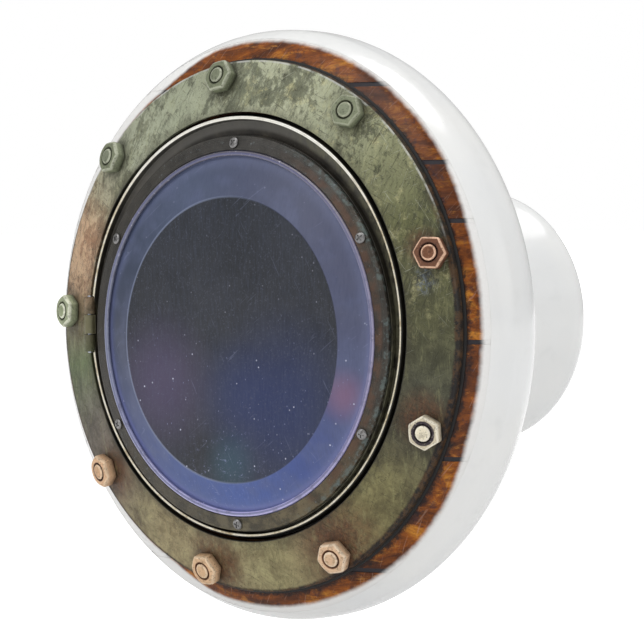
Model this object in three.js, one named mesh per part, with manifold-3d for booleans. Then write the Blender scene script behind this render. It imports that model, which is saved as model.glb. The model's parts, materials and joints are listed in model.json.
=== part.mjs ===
// Porthole knob: a glazed ceramic furniture knob whose face is a small working porthole.
// Millimetres, +Z up. The knob's axis lies along Y: the flat foot of the stem is at y = 0 and the
// porthole looks along -Y. The origin is the centre of the foot, on the face it is fastened to.
import * as THREE from "three";
import { mergeVertices } from "three/addons/utils/BufferGeometryUtils.js";
import Module from "manifold-3d";

const wasm = await Module();
wasm.setup();

// ---- Driving dimensions ----------------------------------------------------------------------
const HEAD_R = 20; // largest radius of the ceramic head
const LENGTH = 28.7; // from the foot to the top of the face's sphere
const DOME_R = 50; // radius of the sphere that the whole face follows
const GAP = 0.05; // left between pieces that touch
const OVERCUT = 0.1; // how far a cut or a joined block runs past the face it meets
const THROUGH = 1; // how far a drill runs out past the surface it enters
const AROUND = 40; // flats round a turned piece
const SMALL_AROUND = 10; // flats round a stud, screw or pin

// Ceramic body
const FRONT_DEPTH = 0.404 * HEAD_R; // the head's front curve, from its top to the widest point
const FRONT_POWER = 1.908; // how square that curve is (2 is an ellipse)
const FRONT_TOP = 0.076 * HEAD_R; // how far that curve's top stands in front of the face's sphere
const BELT = 0.04 * HEAD_R; // straight band at the widest point
const BACK_DEPTH = 0.349 * HEAD_R;
const BACK_POWER = 2.116;
const BACK_SWEEP = 0.92; // share of the back curve's quarter turn that is used
const NECK_R = 6.6;
const FOOT_R = 8.96;
const FOOT_ROUND = 0.8;
const NECK_FILLET = 1.7;
const NECK_START = 0.25; // from the end of the back curve to the start of the fillet
const FLARE_POWER = 2.2; // the stem widens late, close to the foot
const FLARE_END = 0.4; // straight part between the flare and the foot's rounding
const RECESS_R = 19.38; // recess in the face that takes the planking
const RECESS_LEDGE = { r: 18.4, depth: 5.36 }; // the boards' ends rest on this ledge
const RECESS_FLOOR = 6.4; // depths are measured back from the top of the face's sphere
const WELL_R = 14.28; // deeper well for the main frame's tube
const WELL_FLOOR = 10.1;
const INSERT_R = 3.0;
const INSERT_LENGTH = 12;
const INSERT_FLATS = 24;
const BORE_RELIEF = 0.5; // the bore runs this far past the insert
const TAPPED_R = 1.65; // tapping size of an M4 thread

// Planking, bedding and flange, all following the sphere
const PLANK_TOP = 0.61; // depth of the planks' top below the sphere
const PLANK_BACK = 5.1;
const PLANK_R = [14.3, 19.3];
const PLANK_EDGE = { r: 18.8, depth: 4.74 }; // from here out the boards slope to the rim
const SEAMS = [0.8, 0.54, 0.35, -0.04, -0.42, -0.8].map((s) => s * HEAD_R);
const SEAM_WIDTH = 0.3;
const RIB_LOW = 0.08; // the caulk in a seam stops this far below the boards
const CAULK_BACK = 5.3;
const CAULK_R = [14.35, 18.9];
const BEDDING = { r: [14.6, 18.02], top: 0.48, back: 0.58 };
const FLANGE = { r: [14.4, 17.9], thick: 0.45, chamfer: 0.15 };

// Main frame behind the planking, with the tube that lines the well
const FRAME_FLANGE_R = 18.3;
const FRAME_FLANGE = [5.35, 6.3];
const TUBE_R = [12.9, 14.15];
const TUBE = [3.25, 9.95];
const BACK_PLATE = { r: 12.8, from: 9.2, to: 9.95 };
const SEAL = { r: [13.2, 14.22], from: 2.85, to: 3.2 };

// Bolting: studs stand square to the sphere
const STUD_COUNT = 9;
const STUD_CIRCLE = 16.8;
const STUD_FIRST = 17; // degrees from +X towards +Z, seen from the front
const STUD_R = 0.55;
const STUD_HOLE_R = 0.62;
const STUD_BELOW = 3.4;
const STUD_RELIEF = 0.3; // the stud holes run this far past the studs
const NUT = { corner: 1.16, high: 0.8, hole: 0.6 };
const STUD_PROUD = 0.06;

// Port: the glazed frame that swings. Its glass, ring and screws sit a little below the knob's axis.
const GLAZING_LOW = 0.45;
const LIP_R = [13.88, 14.14];
const LIP_TOP = 2.05;
const LIP_CHAMFER = 0.08;
const LIP_DRAFT = 0.03; // the lip's inner face leans by this much
const PORT_BACK = 2.8;
const SPIGOT_R = [12.3, 12.75];
const SPIGOT_END = 3.9;
const POCKET_R = 12.52;
const SHELF = { r: 11.2, from: 2.6, to: 3.2 };
const RING_SEAT = { r: 13.3, depth: 2.05 };
const GROOVE_FLOOR = 2.45;
const GLASS = { r: 12.45, flat: 9.6, bevel: 11.9, front: 0.9, edge: 1.7, back: 2.2 };
const FLAT_LOW = 0.4; // the glass is ground so that its flat lies this much low in the bevel
const SEAT_SEAL = { r: [11.3, 12.2], from: 2.25, to: 2.55 };
const BEAD = { r: [11.92, 12.24], from: 1.4, to: 1.65 };
const RING = { r: [12.29, 13.25], step: 12.5, top: -0.05, over_glass: 1.7, back: 2.0 };
const SCREW_COUNT = 6;
const SCREW_CIRCLE = 12.75;
const SCREW_FIRST = 30;
const SCREW = { head: 0.37, high: 0.14, shank: 0.17, hole: 0.21, long: 0.85, seat: 0.04 };

// Hinge in the joint line at the left of the port
const HINGE = { x: -14.27, depth: 2.1, r: 0.4, pocket: 0.47, pin: 0.16, bore: 0.2 };
const KNUCKLE = { inner: 0.65, outer: [0.72, 1.9], play: 0.06, pin_end: 1.95 };

// Catch opposite the hinge: a magnet in the end of the tube draws a steel keeper in the port
const MAGNET = { x: 13.52, r: 0.45, from: 3.3, to: 5.3 };
const KEEPER = { x: 12.95, r: 0.3, from: 2.5, to: 2.78, fit: 0.02 };

// ---- Helpers -----------------------------------------------------------------------------------
const TAU = Math.PI * 2;
const radians = THREE.MathUtils.degToRad;

// y of a depth measured back from the top of the face's sphere
const at = (depth) => depth - LENGTH;

// y of the sphere at a radius, moved back by depth
const dome = (r, depth = 0) => at(DOME_R - Math.sqrt(DOME_R ** 2 - r ** 2) + depth);

// Points along the sphere between two radii
function domeArc(from, to, depth, steps = 2) {
  return Array.from({ length: steps + 1 }, (_, i) => {
    const r = from + ((to - from) * i) / steps;
    return [r, dome(r, depth)];
  });
}

// A profile of [radius, y] turned round the knob's axis. It starts and ends on the axis, or is a
// ring's outline, which is closed here.
function turned(profile, around = AROUND) {
  const points = profile.map(([r, y]) => new THREE.Vector2(r, y));
  if (profile[0][0] > 0) points.push(points[0].clone());
  const inwards = THREE.ShapeUtils.area(points) < 0;
  return new THREE.LatheGeometry(inwards ? points.reverse() : points, around);
}

const ring = ([inner, outer], from, to) =>
  turned([
    [inner, at(from)],
    [outer, at(from)],
    [outer, at(to)],
    [inner, at(to)],
  ]);

function rod(r, from, to, around = SMALL_AROUND) {
  return new THREE.CylinderGeometry(r, r, to - from, around).translate(0, (from + to) / 2, 0);
}

function block([x0, x1], [y0, y1], [z0, z1]) {
  return new THREE.BoxGeometry(x1 - x0, y1 - y0, z1 - z0).translate(
    (x0 + x1) / 2,
    (y0 + y1) / 2,
    (z0 + z1) / 2,
  );
}

// Local +Y along the sphere's outward normal at a radius and an angle
function squareToDome(radius, degrees) {
  const angle = radians(degrees);
  const lean = Math.asin(radius / DOME_R);
  const out = new THREE.Vector3(
    Math.sin(lean) * Math.cos(angle),
    -Math.cos(lean),
    Math.sin(lean) * Math.sin(angle),
  );
  const along = new THREE.Vector3(-Math.sin(angle), 0, Math.cos(angle));
  const across = new THREE.Vector3().crossVectors(along, out);
  const place = new THREE.Matrix4().makeBasis(along, out, across);
  return place.setPosition(radius * Math.cos(angle), dome(radius), radius * Math.sin(angle));
}

// A closed geometry as a manifold solid, without the slivers that a lathe leaves on its axis
function solid(geometry) {
  const plain = new THREE.BufferGeometry().setAttribute("position", geometry.attributes.position);
  if (geometry.index) plain.setIndex(geometry.index);
  const merged = mergeVertices(plain, 1e-4);
  const corners = [...merged.index.array];
  const kept = [];
  for (let i = 0; i < corners.length; i += 3) {
    const [a, b, c] = corners.slice(i, i + 3);
    if (a !== b && b !== c && c !== a) kept.push(a, b, c);
  }
  return new wasm.Manifold(
    new wasm.Mesh({
      numProp: 3,
      vertProperties: merged.attributes.position.array,
      triVerts: new Uint32Array(kept),
    }),
  );
}

function geometryOf(made) {
  const mesh = made.getMesh();
  const geometry = new THREE.BufferGeometry();
  geometry.setAttribute("position", new THREE.BufferAttribute(mesh.vertProperties, 3));
  geometry.setIndex(new THREE.BufferAttribute(mesh.triVerts, 1));
  return geometry;
}

const cut = (body, tools) => tools.reduce((left, tool) => left.subtract(solid(tool)), body);
const join = (body, tools) => tools.reduce((left, tool) => left.add(solid(tool)), body);

// Angles in degrees of pieces that are spread evenly round the face
const around = (count, first) => Array.from({ length: count }, (_, i) => first + (360 / count) * i);

// ---- Materials ---------------------------------------------------------------------------------
const finish = (color, roughness, metalness = 0) =>
  new THREE.MeshStandardMaterial({ color, roughness, metalness });

const GLAZE = finish(0xf1f1ef, 0.12);
const BRONZE = finish(0x6f6f52, 0.5, 0.85);
const BRIGHT_BRASS = finish(0xcdb98f, 0.35, 0.9);
const DARK_BRONZE = finish(0x35312a, 0.55, 0.8);
const STEEL = finish(0xb9bcc4, 0.35, 0.9);
const TEAK = finish(0x8a4214, 0.4);
const CAULK = finish(0x17171a, 0.8);
const RUBBER = finish(0x0c0c0e, 0.7);
const CLEAR = finish(0x4a5688, 0.08);
const BEAD_CLEAR = finish(0xb9b3d8, 0.3);

const knob = new THREE.Group();
function piece(name, geometry, material, parent = knob) {
  const mesh = new THREE.Mesh(geometry, material);
  mesh.name = name;
  parent.add(mesh);
  return mesh;
}

// ---- Ceramic body ------------------------------------------------------------------------------
// The section from the well's floor over the head and down the stem to the end of the bore
function bodyProfile() {
  const front = at(-FRONT_TOP);
  const widest = front + FRONT_DEPTH;
  const rimAngle = Math.asin((RECESS_R / HEAD_R) ** (FRONT_POWER / 2));
  const shoulder = Array.from({ length: 5 }, (_, i) => {
    const a = rimAngle + ((Math.PI / 2 - rimAngle) * i) / 4;
    return [
      HEAD_R * Math.sin(a) ** (2 / FRONT_POWER),
      front + FRONT_DEPTH * (1 - Math.cos(a) ** (2 / FRONT_POWER)),
    ];
  });
  const back = Array.from({ length: 8 }, (_, i) => {
    const a = ((Math.PI / 2) * BACK_SWEEP * i) / 7;
    return [
      HEAD_R * Math.cos(a) ** (2 / BACK_POWER),
      widest + BELT + BACK_DEPTH * Math.sin(a) ** (2 / BACK_POWER),
    ];
  }).filter(([r]) => r > NECK_R + NECK_FILLET);
  const neckFront = back[back.length - 1][1] + NECK_START;
  const fillet = Array.from({ length: 4 }, (_, i) => {
    const a = (Math.PI / 2) * (i / 3);
    return [
      NECK_R + NECK_FILLET * (1 - Math.sin(a)),
      neckFront + NECK_FILLET * (1 - Math.cos(a)),
    ];
  });
  const flareFrom = neckFront + NECK_FILLET;
  const flareTo = -FOOT_ROUND - FLARE_END;
  const flare = Array.from({ length: 4 }, (_, i) => {
    const s = (i + 1) / 4;
    const r = NECK_R + (FOOT_R - NECK_R) * s ** FLARE_POWER;
    return [r, flareFrom + (flareTo - flareFrom) * s];
  });
  const foot = [0, 1, 2].map((i) => {
    const a = (Math.PI / 4) * i;
    return [FOOT_R - FOOT_ROUND * (1 - Math.cos(a)), -FOOT_ROUND + FOOT_ROUND * Math.sin(a)];
  });
  return [
    [0, at(WELL_FLOOR)],
    [WELL_R, at(WELL_FLOOR)],
    [WELL_R, at(RECESS_FLOOR)],
    [RECESS_LEDGE.r, at(RECESS_FLOOR)],
    [RECESS_LEDGE.r, at(RECESS_LEDGE.depth)],
    [RECESS_R, at(RECESS_LEDGE.depth)],
    ...shoulder,
    ...back,
    ...fillet,
    ...flare,
    ...foot,
    [INSERT_R + GAP, 0],
    [INSERT_R + GAP, -INSERT_LENGTH - BORE_RELIEF],
    [0, -INSERT_LENGTH - BORE_RELIEF],
  ];
}

piece("ceramic_body", turned(bodyProfile()), GLAZE);
piece(
  "threaded_insert",
  turned(
    [
      [TAPPED_R, -INSERT_LENGTH],
      [INSERT_R, -INSERT_LENGTH],
      [INSERT_R, -GAP],
      [TAPPED_R, -GAP],
    ],
    INSERT_FLATS,
  ),
  BRIGHT_BRASS,
);

// ---- Main frame, back plate and seal ------------------------------------------------------------
const studPlaces = around(STUD_COUNT, STUD_FIRST).map((a) => squareToDome(STUD_CIRCLE, a));
const studHoles = studPlaces.map((place) =>
  rod(STUD_HOLE_R, -STUD_BELOW - STUD_RELIEF, THROUGH).applyMatrix4(place),
);

// A pin or its socket parallel to the knob's axis, at x on the joint line opposite the hinge
const catchPin = (x, r, from, to) => rod(r, at(from), at(to)).translate(x, 0, 0);
const magnetSocket = catchPin(MAGNET.x, MAGNET.r + GAP, TUBE[0] - OVERCUT, MAGNET.to + GAP);
const keeperSocket = catchPin(
  KEEPER.x,
  KEEPER.r + KEEPER.fit,
  KEEPER.from - KEEPER.fit,
  PORT_BACK + OVERCUT,
);

const mainFrame = turned([
  [TUBE_R[0], at(TUBE[0])],
  [TUBE_R[1], at(TUBE[0])],
  [TUBE_R[1], at(FRAME_FLANGE[0])],
  [FRAME_FLANGE_R, at(FRAME_FLANGE[0])],
  [FRAME_FLANGE_R, at(FRAME_FLANGE[1])],
  [TUBE_R[1], at(FRAME_FLANGE[1])],
  [TUBE_R[1], at(TUBE[1])],
  [TUBE_R[0], at(TUBE[1])],
]);
piece("main_frame", geometryOf(cut(solid(mainFrame), [...studHoles, magnetSocket])), DARK_BRONZE);
piece("catch_magnet", catchPin(MAGNET.x, MAGNET.r, MAGNET.from, MAGNET.to), STEEL);
piece(
  "back_plate",
  turned([
    [0, at(BACK_PLATE.from)],
    [BACK_PLATE.r, at(BACK_PLATE.from)],
    [BACK_PLATE.r, at(BACK_PLATE.to)],
    [0, at(BACK_PLATE.to)],
  ]),
  RUBBER,
);
piece("port_seal", ring(SEAL.r, SEAL.from, SEAL.to), RUBBER);

// ---- Planking and its caulking ------------------------------------------------------------------
// The band of z between two seams, as a block wide enough for the whole face
function band(low, high, [x0, x1] = [-HEAD_R, HEAD_R]) {
  return solid(block([x0, x1], [at(0), at(RECESS_FLOOR)], [low, high]));
}

const deck = cut(
  solid(
    turned([
      ...domeArc(PLANK_R[0], PLANK_EDGE.r, PLANK_TOP),
      [PLANK_R[1], at(PLANK_EDGE.depth)],
      [PLANK_R[1], at(PLANK_BACK)],
      [PLANK_R[0], at(PLANK_BACK)],
    ]),
  ),
  studHoles,
);
const half = SEAM_WIDTH / 2;
const edges = [HEAD_R, ...SEAMS, -HEAD_R];
edges.slice(1).forEach((low, i) => {
  const high = edges[i];
  const top = high - (i ? half : 0);
  const bottom = low + (i < SEAMS.length ? half : 0);
  const crossesWell = Math.max(Math.abs(top), Math.abs(bottom)) < PLANK_R[0];
  const sides = crossesWell
    ? { _left: [-HEAD_R, 0], _right: [0, HEAD_R] }
    : { "": [-HEAD_R, HEAD_R] };
  for (const [side, across] of Object.entries(sides)) {
    const plank = deck.intersect(band(bottom, top, across));
    piece(`plank_${i + 1}${side}`, geometryOf(plank), TEAK);
  }
});

const caulkSheet = solid(ring(CAULK_R, PLANK_BACK + GAP, CAULK_BACK));
const ribSpace = solid(
  turned([
    ...domeArc(...CAULK_R, PLANK_TOP + RIB_LOW),
    [CAULK_R[1], at(CAULK_BACK)],
    [CAULK_R[0], at(CAULK_BACK)],
  ]),
);
const caulk = SEAMS.reduce(
  (made, seam) => made.add(ribSpace.intersect(band(seam - half + GAP, seam + half - GAP))),
  caulkSheet,
);
piece("seam_caulking", geometryOf(cut(caulk, studHoles)), CAULK);

// ---- Bedding and outer flange -------------------------------------------------------------------
const bedding = turned([
  ...domeArc(...BEDDING.r, BEDDING.top),
  ...domeArc(...BEDDING.r, BEDDING.back).reverse(),
]);
piece("bedding_ring", geometryOf(cut(solid(bedding), studHoles)), CAULK);

const hingeAxis = new THREE.Matrix4()
  .makeRotationX(Math.PI / 2)
  .setPosition(HINGE.x, at(HINGE.depth), 0);
const alongHinge = (r, from, to, flats = SMALL_AROUND) =>
  rod(r, from, to, flats).applyMatrix4(hingeAxis);
const outerKnuckles = (r, grow) =>
  [-1, 1].map((side) => {
    const [near, far] = [KNUCKLE.outer[0] - grow, KNUCKLE.outer[1] + grow];
    return side > 0 ? alongHinge(r, near, far) : alongHinge(r, -far, -near);
  });
const innerKnuckle = (r, grow) => alongHinge(r, -KNUCKLE.inner - grow, KNUCKLE.inner + grow);
const hingeBore = alongHinge(
  HINGE.bore,
  -KNUCKLE.outer[1] - THROUGH,
  KNUCKLE.outer[1] + THROUGH,
);

const [flangeIn, flangeOut] = FLANGE.r;
const flange = turned([
  [flangeIn, dome(flangeIn, FLANGE.chamfer)],
  ...domeArc(flangeIn + FLANGE.chamfer, flangeOut - FLANGE.chamfer, 0),
  [flangeOut, dome(flangeOut, FLANGE.chamfer)],
  ...domeArc(flangeIn, flangeOut, FLANGE.thick).reverse(),
]);
const drilledFlange = cut(solid(flange), studHoles);
const hingedFlange = join(
  cut(drilledFlange, [innerKnuckle(HINGE.pocket, KNUCKLE.play)]),
  outerKnuckles(HINGE.r, 0),
);
piece("flange_ring", geometryOf(cut(hingedFlange, [hingeBore])), BRONZE);
piece("hinge_pin", alongHinge(HINGE.pin, -KNUCKLE.pin_end, KNUCKLE.pin_end), STEEL);

// ---- Studs and nuts -----------------------------------------------------------------------------
function hexNut(turn) {
  const outline = new THREE.Shape(
    Array.from({ length: 6 }, (_, i) => {
      const a = (TAU * i) / 6 + radians(turn);
      return new THREE.Vector2(NUT.corner * Math.cos(a), NUT.corner * Math.sin(a));
    }),
  );
  outline.holes.push(new THREE.Path().absarc(0, 0, NUT.hole, 0, TAU));
  const made = new THREE.ExtrudeGeometry(outline, {
    depth: NUT.high,
    bevelEnabled: false,
    curveSegments: SMALL_AROUND,
  });
  return made.rotateX(-Math.PI / 2).translate(0, GAP, 0);
}

// How each nut was left standing when it was tightened, in degrees
const NUT_TURNS = [12, 25, 3, 18, 0, 34, 14, 40, 22];
studPlaces.forEach((place, i) => {
  const standing = new THREE.Group();
  standing.applyMatrix4(place);
  knob.add(standing);
  const top = GAP + NUT.high + STUD_PROUD;
  piece(`stud_${i + 1}`, rod(STUD_R, -STUD_BELOW, top), BRIGHT_BRASS, standing);
  piece(`hex_nut_${i + 1}`, hexNut(NUT_TURNS[i]), BRIGHT_BRASS, standing);
});

// ---- Port ---------------------------------------------------------------------------------------
const low = new THREE.Matrix4().makeTranslation(0, 0, -GLAZING_LOW);
const disc = (r, from, to) => rod(r, at(from), at(to), AROUND);
const screwPlaces = around(SCREW_COUNT, SCREW_FIRST).map((a) =>
  squareToDome(SCREW_CIRCLE, a).premultiply(low),
);
const screwHoles = screwPlaces.map((place) =>
  rod(SCREW.hole, -SCREW.long - OVERCUT, THROUGH).applyMatrix4(place),
);

const rim = turned([
  [SPIGOT_R[0], at(GROOVE_FLOOR)],
  [LIP_R[0] - LIP_DRAFT, at(GROOVE_FLOOR)],
  [LIP_R[0], at(LIP_TOP + LIP_CHAMFER)],
  [LIP_R[0] + LIP_CHAMFER, at(LIP_TOP)],
  [LIP_R[1] - LIP_CHAMFER, at(LIP_TOP)],
  [LIP_R[1], at(LIP_TOP + LIP_CHAMFER)],
  [LIP_R[1], at(PORT_BACK)],
  [SPIGOT_R[1], at(PORT_BACK)],
  [SPIGOT_R[1], at(SPIGOT_END)],
  [SPIGOT_R[0], at(SPIGOT_END)],
]);
const shelf = disc(SPIGOT_R[0] + OVERCUT, GROOVE_FLOOR, SHELF.to);
const ringSeat = disc(RING_SEAT.r, RING_SEAT.depth, PORT_BACK - OVERCUT).applyMatrix4(low);
const pocket = disc(POCKET_R, 0, SHELF.from).applyMatrix4(low);
const sightHole = disc(SHELF.r, 0, SPIGOT_END).applyMatrix4(low);
const knuckleArm = block(
  [HINGE.x + GAP, -LIP_R[0] + OVERCUT],
  [at(LIP_TOP + OVERCUT), at(PORT_BACK - OVERCUT)],
  [-KNUCKLE.inner, KNUCKLE.inner],
);
const glazedFrame = cut(join(solid(rim), [shelf, ringSeat]), [pocket, sightHole]);
const hingedFrame = join(
  cut(glazedFrame, [...outerKnuckles(HINGE.pocket, KNUCKLE.play), ...screwHoles, keeperSocket]),
  [innerKnuckle(HINGE.r, 0), knuckleArm],
);
piece("port_frame", geometryOf(cut(hingedFrame, [hingeBore])), DARK_BRONZE);

piece("catch_keeper", catchPin(KEEPER.x, KEEPER.r, KEEPER.from, KEEPER.to), STEEL);
piece(
  "glass_seat_seal",
  ring(SEAT_SEAL.r, SEAT_SEAL.from, SEAT_SEAL.to).applyMatrix4(low),
  RUBBER,
);

// The pane, with its flat ground a little below the centre of the bevel
function bevelledGlass() {
  const made = turned([
    [0, at(GLASS.front)],
    [GLASS.flat, at(GLASS.front)],
    [GLASS.bevel, at(GLASS.edge)],
    [GLASS.r, at(GLASS.edge)],
    [GLASS.r, at(GLASS.back)],
    [0, at(GLASS.back)],
  ]);
  const points = made.attributes.position;
  const flatEnds = at(GLASS.front) + GAP;
  for (let i = 0; i < points.count; i += 1) {
    if (points.getY(i) < flatEnds) points.setZ(i, points.getZ(i) - FLAT_LOW);
  }
  return made.applyMatrix4(low);
}
piece("glass", bevelledGlass(), CLEAR);
piece("glazing_bead", ring(BEAD.r, BEAD.from, BEAD.to).applyMatrix4(low), BEAD_CLEAR);

const retainer = turned([
  ...domeArc(...RING.r, RING.top),
  [RING.r[1], at(RING.back)],
  [RING.step + OVERCUT, at(RING.back)],
  [RING.step + OVERCUT, at(RING.over_glass - GAP)],
  [RING.r[0], at(RING.over_glass - GAP)],
]).applyMatrix4(low);
piece("retaining_ring", geometryOf(cut(solid(retainer), screwHoles)), DARK_BRONZE);

screwPlaces.forEach((place, i) => {
  const seat = -RING.top + SCREW.seat;
  const screw = join(solid(rod(SCREW.head, seat, seat + SCREW.high)), [
    rod(SCREW.shank, -SCREW.long, seat + SCREW.high / 2),
  ]);
  const standing = new THREE.Group();
  standing.applyMatrix4(place);
  knob.add(standing);
  piece(`ring_screw_${i + 1}`, geometryOf(screw), STEEL, standing);
});

export default knob;
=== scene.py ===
"""Looks for the porthole knob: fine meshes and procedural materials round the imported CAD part.

Lengths in the drawing code are millimetres in the part's own frame (the knob's axis along Y, the
porthole looking along -Y, +Z up), and become metres when a mesh is made.
"""
import itertools
import json
import math
import random

import bmesh
import bpy
import numpy as np
from mathutils import Matrix, Vector, noise


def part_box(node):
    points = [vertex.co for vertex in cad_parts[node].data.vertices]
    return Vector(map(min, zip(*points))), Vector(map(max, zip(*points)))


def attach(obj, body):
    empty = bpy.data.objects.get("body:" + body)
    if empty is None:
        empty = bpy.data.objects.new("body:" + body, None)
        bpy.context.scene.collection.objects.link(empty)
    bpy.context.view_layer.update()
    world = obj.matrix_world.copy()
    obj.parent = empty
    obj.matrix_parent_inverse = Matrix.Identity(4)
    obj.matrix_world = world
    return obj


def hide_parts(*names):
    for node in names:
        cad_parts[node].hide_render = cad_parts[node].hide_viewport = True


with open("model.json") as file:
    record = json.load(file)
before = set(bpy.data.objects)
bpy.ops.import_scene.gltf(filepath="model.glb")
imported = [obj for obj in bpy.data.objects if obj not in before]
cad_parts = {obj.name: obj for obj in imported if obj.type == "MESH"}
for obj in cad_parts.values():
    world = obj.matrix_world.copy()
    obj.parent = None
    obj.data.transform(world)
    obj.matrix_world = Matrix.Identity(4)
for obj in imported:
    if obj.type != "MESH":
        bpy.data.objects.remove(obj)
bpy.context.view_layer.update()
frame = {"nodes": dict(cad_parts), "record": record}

# ---- Sizes read from the frame -------------------------------------------------------------------
MM = 0.001
record = frame["record"]
bodies = record["behaviour"]["bodies"]
BODY_OF = {node: body for body, members in bodies.items() for node in members}
HINGE = Vector(record["behaviour"]["joints"][0]["pos_m"]) / MM


def span(node, axis):
    """(low, high) of a CAD node along x, y or z, in millimetres."""
    low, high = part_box(node)
    i = "xyz".index(axis)
    return low[i] / MM, high[i] / MM


def outer(node):
    """The outer radius of a CAD node that is turned about the knob's axis."""
    return span(node, "x")[1]


HEAD_R = outer("ceramic_body")
DOME_R = 2.5 * HEAD_R  # radius of the sphere that the face follows
GLASS_FRONT = 0.9  # the glass's face behind the sphere's top
TOP = span("glass", "y")[0] - GLASS_FRONT  # y of the sphere's top

# Ceramic. Radii are from the knob's axis, depths are measured back from the sphere's top.
FRONT = {"depth": 0.404 * HEAD_R, "power": 1.908, "ahead": 0.076 * HEAD_R}
BACK = {"depth": 0.349 * HEAD_R, "power": 2.116, "belt": 0.04 * HEAD_R, "sweep": 0.92}
NECK = {"r": 6.6, "fillet": 1.7, "start": 0.2}
FOOT = {"r": 8.96, "round": 0.8, "flare": 2.2, "straight": 0.3}
RECESS = {"r": 19.366, "ledge_r": 18.4, "ledge": 5.36, "floor": 6.4}
WELL = {"r": 14.28, "floor": 10.1}
BORE = {"gap": 0.05, "mouth": 0.15, "end": 12.5}
THREAD = {"length": 12.0, "crest": 1.65, "root": 2.0, "pitch": 0.7, "mouth": 0.5, "flare": 0.4}

# Main frame, seals and planking
TUBE = {"r": (12.9, 14.15), "depth": (3.25, 9.95)}
FRAME_FLANGE = {"r": 18.3, "depth": (5.35, 6.3)}
BACK_PLATE = {"r": (0, 12.8), "depth": (9.2, 9.95)}
PORT_SEAL = {"r": (13.2, 14.22), "depth": (2.85, 3.2)}
BEDDING = {"r": (14.6, 18.02), "top": 0.48, "back": 0.58}
BOARD = {"r": (14.3, 19.37), "top": 0.61, "shoulder": 18.75, "back": 5.1}
CAULK = {"r": (14.35, 18.9), "depth": (5.15, 5.3)}
RIB = {"r": (14.35, 19.36), "top": 0.66, "shoulder": 18.7, "back": 5.22}
SEAMS = [z * HEAD_R for z in (0.8, 0.54, 0.35, -0.04, -0.42, -0.8)]
SEAM_HALF = 0.15
SEAM_PLAY = 0.004  # between a board's side and the caulk

# Flange, studs, nuts and hinge
FLANGE_R = (14.4, outer("flange_ring"))
FLANGE_THICK = 0.43
STUDS = 9
STUD_CIRCLE = 16.8
STUD_FIRST = 17
STUD = {"r": 0.55, "below": 3.4, "proud": 0.08}
NUT = {"corner": 1.16, "high": 0.8, "hole": 0.59, "lift": 0.03, "chamfer": math.radians(32)}
KNUCKLE = {"r": 0.4, "pocket": 0.47, "inner": 0.65, "outer": (0.72, 1.9), "play": 0.06}
HINGE_PIN = {"r": 0.16, "half": 1.99}

# Port. The glazing's centre lies LOW of the knob's axis, and the glass's flat a little lower still.
LOW = sum(span("glass", "z")) / 2
FLAT_LOW = -0.4
LIP = {"r": (13.88, 14.14), "top": 2.05, "draft": 0.04}
GROOVE_FLOOR = 2.45
PORT_BACK = 2.8
SPIGOT = {"r": (12.3, 12.75), "end": 3.9}
SHELF = {"r": (0, 12.4), "depth": (2.45, 3.2)}
RING_SEAT = {"r": (0, 13.3), "depth": (2.05, 2.7)}
POCKETS = [(12.52, 2.6), (11.2, 3.9)]  # radius and depth of the glass's pocket and of the opening
ARM = {"end": -13.78, "depth": (2.15, 2.7)}
GLASS = {"flat": 9.6, "bevel": 11.9, "r": 12.45, "edge": 1.7, "back": 2.2}
SEAT_SEAL = {"r": (11.3, 12.2), "depth": (2.25, 2.55)}
BEAD = {"r": (11.92, 12.24), "depth": (1.4, 1.65)}
RING = {"r": (12.29, 13.25), "top": -0.05, "step": 12.6, "over_glass": 1.65, "back": 2.0}
SCREWS = 6
SCREW_CIRCLE = 12.75
SCREW_FIRST = 30
SCREW = {"r": 0.37, "shank": 0.17, "long": 0.85, "seat": 0.09, "slot": 0.05}
MAGNET = {"x": 13.52, "r": 0.45, "depth": (3.3, 5.3)}
KEEPER = {"x": 12.95, "r": 0.3, "depth": (2.5, 2.78)}


def at(depth):
    """y of a depth measured back from the top of the face's sphere."""
    return TOP + depth


def dome(r, depth=0.0):
    """y of the face's sphere at a radius, moved back by depth."""
    return at(DOME_R - math.sqrt(DOME_R**2 - r**2) + depth)


def on_face(radius, degrees):
    """Matrix that stands local +Z along the sphere's outward normal, at a radius and an angle."""
    a, lean = math.radians(degrees), math.asin(radius / DOME_R)
    out = Vector((math.sin(lean) * math.cos(a), -math.cos(lean), math.sin(lean) * math.sin(a)))
    along = Vector((-math.sin(a), 0, math.cos(a)))
    place = Matrix((along, out.cross(along), out)).transposed().to_4x4()
    place.translation = Vector((radius * math.cos(a), dome(radius), radius * math.sin(a)))
    return place


def levels(*points):
    """A profile from (radius, depth) points."""
    return [(r, at(depth)) for r, depth in points]


# ---- Mesh helpers --------------------------------------------------------------------------------
def soften(points, size, steps=4, closed=True):
    """A profile with its sharp corners rounded by short curves that start size away from them."""
    made, count = [], len(points)
    for i, (x, y) in enumerate(points):
        p = Vector((x, y))
        if not closed and i in (0, count - 1):
            made.append(p)
            continue
        before, after = Vector(points[i - 1]) - p, Vector(points[(i + 1) % count]) - p
        straight = before.angle(-after, 0.0) < math.radians(14)
        if straight:
            made.append(p)
            continue
        reach = min(size, 0.45 * before.length, 0.45 * after.length)
        start, end = p + before.normalized() * reach, p + after.normalized() * reach
        for k in range(steps + 1):
            t = k / steps
            made.append(start * (1 - t) ** 2 + p * (2 * t * (1 - t)) + end * t**2)
    return [(p[0], p[1]) for p in made]


def arc(r0, r1, depth, steps=14):
    """Points along the face's sphere between two radii."""
    return [(r, dome(r, depth)) for r in np.linspace(r0, r1, steps + 1)]


def linked(name, data):
    """A new object in the scene."""
    obj = bpy.data.objects.new(name, data)
    bpy.context.scene.collection.objects.link(obj)
    return obj


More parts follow.
